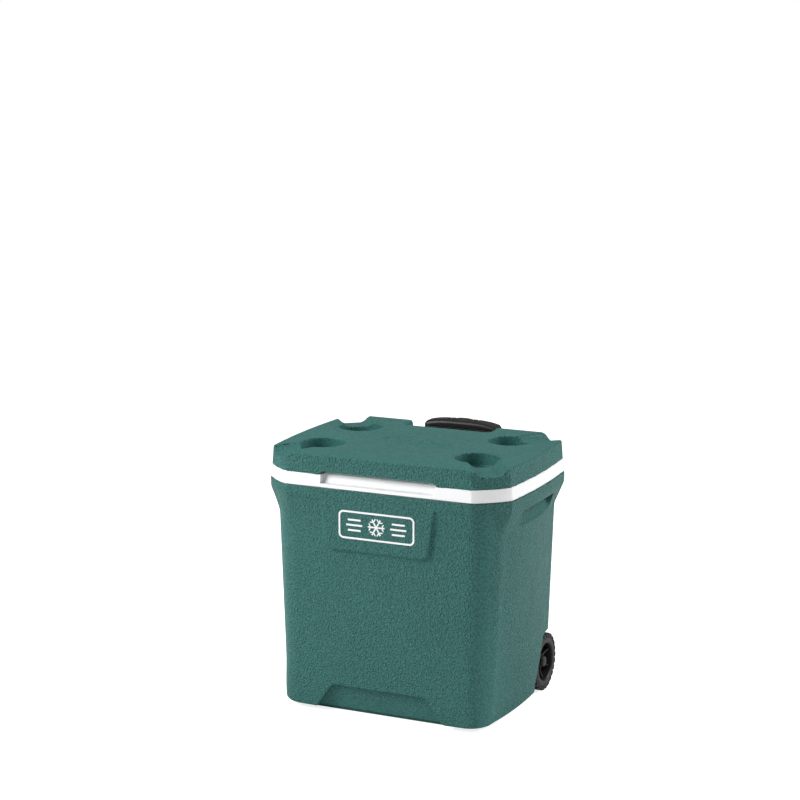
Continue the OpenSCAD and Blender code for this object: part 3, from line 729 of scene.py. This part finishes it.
# ------------------------------------------------------------ materials ----
def material(name, base, rough, grain=0.0, grain_mm=3.2, fine=0.0, vary=0.05, metallic=0.0, spec=0.5, wear=0.0, streak=0.0, sss=0.0, flat=1.0):
    m = bpy.data.materials.new(name)
    m.use_nodes = True
    t = m.node_tree
    t.nodes.clear()
    new = t.nodes.new
    out = new("ShaderNodeOutputMaterial")
    b = new("ShaderNodeBsdfPrincipled")
    t.links.new(b.outputs[0], out.inputs[0])
    b.inputs["Metallic"].default_value = metallic
    b.inputs["Specular IOR Level"].default_value = spec
    if sss:
        b.inputs["Subsurface Weight"].default_value = sss
        b.inputs["Subsurface Radius"].default_value = (0.004, 0.004, 0.004)
        b.inputs["Subsurface Scale"].default_value = 1.0
    co = new("ShaderNodeTexCoord")
    # slow colour drift
    big = new("ShaderNodeTexNoise")
    big.inputs["Scale"].default_value = 9.0
    big.inputs["Detail"].default_value = 3.0
    t.links.new(co.outputs["Object"], big.inputs["Vector"])
    ramp = new("ShaderNodeMapRange")
    ramp.inputs["From Min"].default_value = 0.3
    ramp.inputs["From Max"].default_value = 0.7
    ramp.inputs["To Min"].default_value = 1 - vary
    ramp.inputs["To Max"].default_value = 1 + vary
    t.links.new(big.outputs["Fac"], ramp.inputs["Value"])
    mul = new("ShaderNodeVectorMath")
    mul.operation = "SCALE"
    mul.inputs[0].default_value = base
    t.links.new(ramp.outputs["Result"], mul.inputs["Scale"])
    colour = mul.outputs[0]
    height = None
    if grain:
        vor = new("ShaderNodeTexVoronoi")
        vor.feature = "SMOOTH_F1"
        vor.inputs["Scale"].default_value = 1.0 / (grain_mm * MM)
        vor.inputs["Smoothness"].default_value = 0.6
        warp = new("ShaderNodeTexNoise")
        warp.inputs["Scale"].default_value = 160.0
        warp.inputs["Detail"].default_value = 2.0
        add = new("ShaderNodeVectorMath")
        add.operation = "MULTIPLY_ADD"
        add.inputs[1].default_value = (0.004, 0.004, 0.004)
        t.links.new(co.outputs["Object"], warp.inputs["Vector"])
        t.links.new(warp.outputs["Color"], add.inputs[0])
        t.links.new(co.outputs["Object"], add.inputs[2])
        t.links.new(add.outputs[0], vor.inputs["Vector"])
        height = vor.outputs["Distance"]
        # grain colour follows the bump height: a painted highlight on the grain tops and painted shade in the pits
        # between them
        cell = new("ShaderNodeMapRange")
        cell.inputs["From Min"].default_value = 0.15
        cell.inputs["From Max"].default_value = 0.65
        cell.inputs["To Min"].default_value = 1.16
        cell.inputs["To Max"].default_value = 0.74
        t.links.new(height, cell.inputs["Value"])
        grain_painted_light = new("ShaderNodeVectorMath")
        grain_painted_light.operation = "SCALE"
        t.links.new(colour, grain_painted_light.inputs[0])
        t.links.new(cell.outputs["Result"], grain_painted_light.inputs["Scale"])
        colour = grain_painted_light.outputs[0]
        b1 = new("ShaderNodeBump")
        upright = new("ShaderNodeSeparateXYZ")
        t.links.new(co.outputs["Normal"], upright.inputs[0])
        calm = new("ShaderNodeMapRange")
        calm.inputs["From Min"].default_value = 0.55
        calm.inputs["From Max"].default_value = 0.95
        calm.inputs["To Min"].default_value = grain
        calm.inputs["To Max"].default_value = grain * flat
        t.links.new(upright.outputs["Z"], calm.inputs["Value"])
        strength = calm.outputs["Result"]
        if flat < 1.0:  # cups and channels are smooth: grain only near the outside of the box
            away = new("ShaderNodeVectorMath")
            away.operation = "ABSOLUTE"
            t.links.new(co.outputs["Object"], away.inputs[0])
            split = new("ShaderNodeSeparateXYZ")
            t.links.new(away.outputs[0], split.inputs[0])
            outside = new("ShaderNodeMath")
            outside.operation = "MAXIMUM"
            for axis, (lo_, hi_) in (("X", (0.190, 0.205)), ("Y", (0.148, 0.158))):
                band = new("ShaderNodeMapRange")
                band.inputs["From Min"].default_value = lo_
                band.inputs["From Max"].default_value = hi_
                t.links.new(split.outputs[axis], band.inputs["Value"])
                t.links.new(band.outputs["Result"], outside.inputs[0 if axis == "X" else 1])
            masked = new("ShaderNodeMath")
            masked.operation = "MULTIPLY"
            t.links.new(strength, masked.inputs[0])
            t.links.new(outside.outputs[0], masked.inputs[1])
            strength = masked.outputs[0]
        t.links.new(strength, b1.inputs["Strength"])
        b1.inputs["Distance"].default_value = 0.0032 if grain > 0.9 else 0.0009
        b1.invert = True
        t.links.new(height, b1.inputs["Height"])
    small = new("ShaderNodeTexNoise")
    small.inputs["Scale"].default_value = 900.0
    small.inputs["Detail"].default_value = 2.0
    vec = co.outputs["Object"]
    if streak:
        mp = new("ShaderNodeMapping")
        mp.inputs["Scale"].default_value = (1.0, 1.0, streak)
        t.links.new(vec, mp.inputs["Vector"])
        vec = mp.outputs["Vector"]
    t.links.new(vec, small.inputs["Vector"])
    b2 = new("ShaderNodeBump")
    b2.inputs["Strength"].default_value = max(fine, 0.02)
    b2.inputs["Distance"].default_value = 0.0002
    t.links.new(small.outputs["Fac"], b2.inputs["Height"])
    if grain:
        t.links.new(b1.outputs["Normal"], b2.inputs["Normal"])
    t.links.new(b2.outputs["Normal"], b.inputs["Normal"])
    rr = new("ShaderNodeMapRange")
    rr.inputs["From Min"].default_value = 0.3
    rr.inputs["From Max"].default_value = 0.7
    rr.inputs["To Min"].default_value = max(0.02, rough - 0.05)
    rr.inputs["To Max"].default_value = min(1.0, rough + 0.06)
    mid = new("ShaderNodeTexNoise")
    mid.inputs["Scale"].default_value = 60.0
    mid.inputs["Detail"].default_value = 4.0
    t.links.new(co.outputs["Object"], mid.inputs["Vector"])
    t.links.new(mid.outputs["Fac"], rr.inputs["Value"])
    t.links.new(rr.outputs["Result"], b.inputs["Roughness"])
    if wear:
        geo = new("ShaderNodeNewGeometry")
        edge = new("ShaderNodeMapRange")
        edge.inputs["From Min"].default_value = 0.52
        edge.inputs["From Max"].default_value = 0.62
        edge.inputs["To Min"].default_value = 0.0
        edge.inputs["To Max"].default_value = wear
        t.links.new(geo.outputs["Pointiness"], edge.inputs["Value"])
        mix = new("ShaderNodeMix")
        mix.data_type = "RGBA"
        t.links.new(edge.outputs["Result"], mix.inputs[0])
        t.links.new(colour, mix.inputs[6])
        mix.inputs[7].default_value = (*(min(1.0, c * 1.6 + 0.03) for c in base), 1)
        colour = mix.outputs[2]
    t.links.new(colour, b.inputs["Base Color"])
    return m


GREEN = material("moulded_green", (0.043, 0.164, 0.148), 0.50, grain=1.0, grain_mm=3.0, fine=0.10, vary=0.04, spec=0.22, wear=0.04, flat=0.08)
WHITE = material("white_rim", (0.92, 0.925, 0.935), 0.35, fine=0.05, vary=0.01, sss=0.05)
TUB = material("white_tub", (0.80, 0.81, 0.82), 0.38, fine=0.06, vary=0.015)
PRINT = material("badge_print", (0.88, 0.89, 0.90), 0.42, fine=0.04, vary=0.01)
FOAM = material("foam", (0.86, 0.78, 0.52), 0.9, grain=0.5, grain_mm=2.2, fine=0.3, vary=0.06)
BLACK = material("black_plastic", (0.010, 0.0085, 0.009), 0.42, grain=0.10, grain_mm=1.4, fine=0.12, vary=0.12, spec=0.35, wear=0.12)
TYRE = material("tyre_black", (0.014, 0.014, 0.015), 0.62, grain=0.12, grain_mm=1.1, fine=0.35, vary=0.18, wear=0.2)
TUBE_K = material("tube_black", (0.016, 0.016, 0.018), 0.32, fine=0.10, vary=0.08, streak=0.05, wear=0.15)
TUBE_S = material("tube_silver", (0.62, 0.63, 0.65), 0.24, fine=0.14, vary=0.04, metallic=1.0, streak=0.03)
STEEL = material("steel", (0.58, 0.58, 0.60), 0.30, fine=0.18, vary=0.06, metallic=1.0)
NYLON = material("nylon", (0.74, 0.73, 0.69), 0.45, fine=0.08, vary=0.03, sss=0.05)


def dress(ob, mat):
    ob.data.materials.clear()
    ob.data.materials.append(mat)
    return ob


# --------------------------------------------------------------- pieces ----
def add(ob, mat, body, slot, *nodes):
    dress(ob, mat)
    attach(ob, body)
    if nodes:
        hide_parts(*nodes)
    return ob


add(skin("body_outer_skin", body_field, (-240, -182, -6), (240, 182, 410), 2.0, 0.26), GREEN, "body", "green_shell", "body_shell")
add(skin("food_tub", tub_field, (-236, -180, 66), (236, 180, 408), 2.3, 0.35), TUB, "body", "white_liner", "body_liner")
add(skin("lid_skin", lid_field, (-238, -178, 419), (238, 176, 466), 2.0, 0.55), GREEN, "lid", "green_shell", "lid_shell")
add(skin("lid_rim_band", liner_field, (-240, -180, 385), (240, 178, 436), 2.0, 0.50), WHITE, "lid", "white_liner", "lid_liner")
add(badge(), PRINT, "body", "badge_white", "front_badge")
add(skin("tow_grip_lower", grip_lower_field, (-80, 176, 428), (80, 216, 452), 1.0), BLACK, "handle_top", "black_plastic", "grip_lower")
add(skin("tow_grip_upper", grip_upper_field, (-80, 176, 443), (80, 216, 468), 1.0), BLACK, "handle_top", "black_plastic", "grip_upper")
add(skin("tow_release_button", button_field, (-20, 188, 448), (20, 212, 468), 0.7), BLACK, "handle_release", "black_plastic", "release_button")
for left in (True, False):
    side = "left" if left else "right"
    add(tyre(f"wheel_tread_{side}", left), TYRE, f"wheel_{side}", "tyre_black", f"wheel_tyre_{side}")
    add(hub(f"wheel_rim_{side}", left), BLACK, f"wheel_{side}", "black_plastic", f"wheel_hub_{side}")

LOOK = {
    "body_foam": FOAM, "lid_foam": FOAM, "axle": STEEL, "axle_washers": STEEL, "push_nuts": STEEL,
    "handle_upper_bracket": BLACK, "handle_lower_bracket": BLACK, "bracket_screws": STEEL,
    "outer_tube_left": TUBE_K, "outer_tube_right": TUBE_K, "tube_collars": BLACK,
    "hinge_leaf_body_left": BLACK, "hinge_leaf_body_right": BLACK, "hinge_pins": STEEL, "hinge_screws_body": STEEL,
    "hinge_leaf_lid_left": BLACK, "hinge_leaf_lid_right": BLACK, "hinge_screws_lid": STEEL,
    "mid_tube_left": TUBE_S, "mid_tube_right": TUBE_S, "mid_collars": BLACK,
    "top_tube_left": TUBE_S, "top_tube_right": TUBE_S, "grip_screws": STEEL,
    "release_yoke": NYLON, "button_spring": STEEL,
    "wheel_bush_left": NYLON, "wheel_bush_right": NYLON, "wheel_cap_left": BLACK, "wheel_cap_right": BLACK,
}
EDGED = {"handle_upper_bracket": 0.8, "handle_lower_bracket": 0.8, "hinge_leaf_body_left": 0.5, "hinge_leaf_body_right": 0.5, "hinge_leaf_lid_left": 0.5, "hinge_leaf_lid_right": 0.5,
         "tube_collars": 0.4, "mid_collars": 0.3, "wheel_cap_left": 0.3, "wheel_cap_right": 0.3}
for name, mat in LOOK.items():
    ob = NODES[name]
    dress(ob, mat)
    weld = ob.modifiers.new("weld", "WELD")
    weld.merge_threshold = 0.000002
    if name in EDGED:
        bev = ob.modifiers.new("edges", "BEVEL")
        bev.width = EDGED[name] * MM
        bev.segments = 2
        bev.limit_method = "ANGLE"
        bev.angle_limit = math.radians(40)
        bev.use_clamp_overlap = True

# ------------------------------------------------- floor, light, camera ----
bm = bmesh.new()
n = 48
ring0 = bm.verts.new((0, 0, 0))
loop = [bm.verts.new((90 * math.cos(2 * math.pi * i / n), 90 * math.sin(2 * math.pi * i / n), 0)) for i in range(n)]
for i in range(n):
    bm.faces.new([ring0, loop[i], loop[(i + 1) % n]])
me = bpy.data.meshes.new("floor")
bm.to_mesh(me)
bm.free()
floor = link("floor", me)
paper = bpy.data.materials.new("paper")
paper.use_nodes = True
pb = paper.node_tree.nodes["Principled BSDF"]
pb.inputs["Base Color"].default_value = (0.93, 0.93, 0.93, 1)
pb.inputs["Roughness"].default_value = 0.9
pb.inputs["Specular IOR Level"].default_value = 0.1
pb.inputs["Emission Color"].default_value = (1, 1, 1, 1)
glow = paper.node_tree.nodes.new("ShaderNodeMapRange")
seen_by = paper.node_tree.nodes.new("ShaderNodeLightPath")
glow.inputs["To Min"].default_value = 0.04
glow.inputs["To Max"].default_value = 0.80
paper.node_tree.links.new(seen_by.outputs["Is Camera Ray"], glow.inputs["Value"])
paper.node_tree.links.new(glow.outputs["Result"], pb.inputs["Emission Strength"])
floor.data.materials.append(paper)

world = bpy.data.worlds.new("studio")
bpy.context.scene.world = world
world.use_nodes = True
bg = world.node_tree.nodes["Background"]
bg.inputs["Color"].default_value = (1, 1, 1, 1)
bg.inputs["Strength"].default_value = 0.28
seen = world.node_tree.nodes.new("ShaderNodeBackground")
seen.inputs["Color"].default_value = (1, 1, 1, 1)
seen.inputs["Strength"].default_value = 1.0
path = world.node_tree.nodes.new("ShaderNodeLightPath")
pick = world.node_tree.nodes.new("ShaderNodeMixShader")
world.node_tree.links.new(path.outputs["Is Camera Ray"], pick.inputs[0])
world.node_tree.links.new(bg.outputs[0], pick.inputs[1])
world.node_tree.links.new(seen.outputs[0], pick.inputs[2])
world.node_tree.links.new(pick.outputs[0], world.node_tree.nodes["World Output"].inputs[0])


def softbox(name, az, el, dist, size, power, target=(0, 0, 0.23)):
    a, e = math.radians(az), math.radians(el)
    pos = Vector(target) + dist * Vector((math.sin(a) * math.cos(e), -math.cos(a) * math.cos(e), math.sin(e)))
    light = bpy.data.lights.new(name, "AREA")
    light.shape = "RECTANGLE"
    light.size, light.size_y = size
    light.energy = power
    ob = bpy.data.objects.new(name, light)
    bpy.context.scene.collection.objects.link(ob)
    ob.location = pos
    ob.rotation_mode = "QUATERNION"
    ob.rotation_quaternion = (Vector(target) - pos).to_track_quat("-Z", "Y")
    return ob


softbox("soft_left", -44, 36, 2.4, (1.2, 1.2), 49)
softbox("soft_right", 116, 28, 2.3, (1.1, 1.3), 32)
softbox("soft_top", 160, 72, 2.3, (2.0, 1.6), 8)

cam_data = bpy.data.cameras.new("camera")
cam = bpy.data.objects.new("camera", cam_data)
bpy.context.scene.collection.objects.link(cam)
az, el = math.radians(24.83), math.radians(11.18)
look = Vector((-math.sin(az) * math.cos(el), math.cos(az) * math.cos(el), -math.sin(el)))
cam.location = (1.4833, -3.2829, 1.2440)
cam.rotation_mode = "QUATERNION"
cam.rotation_quaternion = look.to_track_quat("-Z", "Y")
cam_data.lens, cam_data.sensor_width = 95.16, 36.0
cam_data.clip_start, cam_data.clip_end = 0.05, 300
bpy.context.scene.camera = cam
bpy.context.scene.view_settings.view_transform = "Standard"
bpy.context.scene.view_settings.look = "None"

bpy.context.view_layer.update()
print(f"scene built in {time.time() - START:.1f} s")
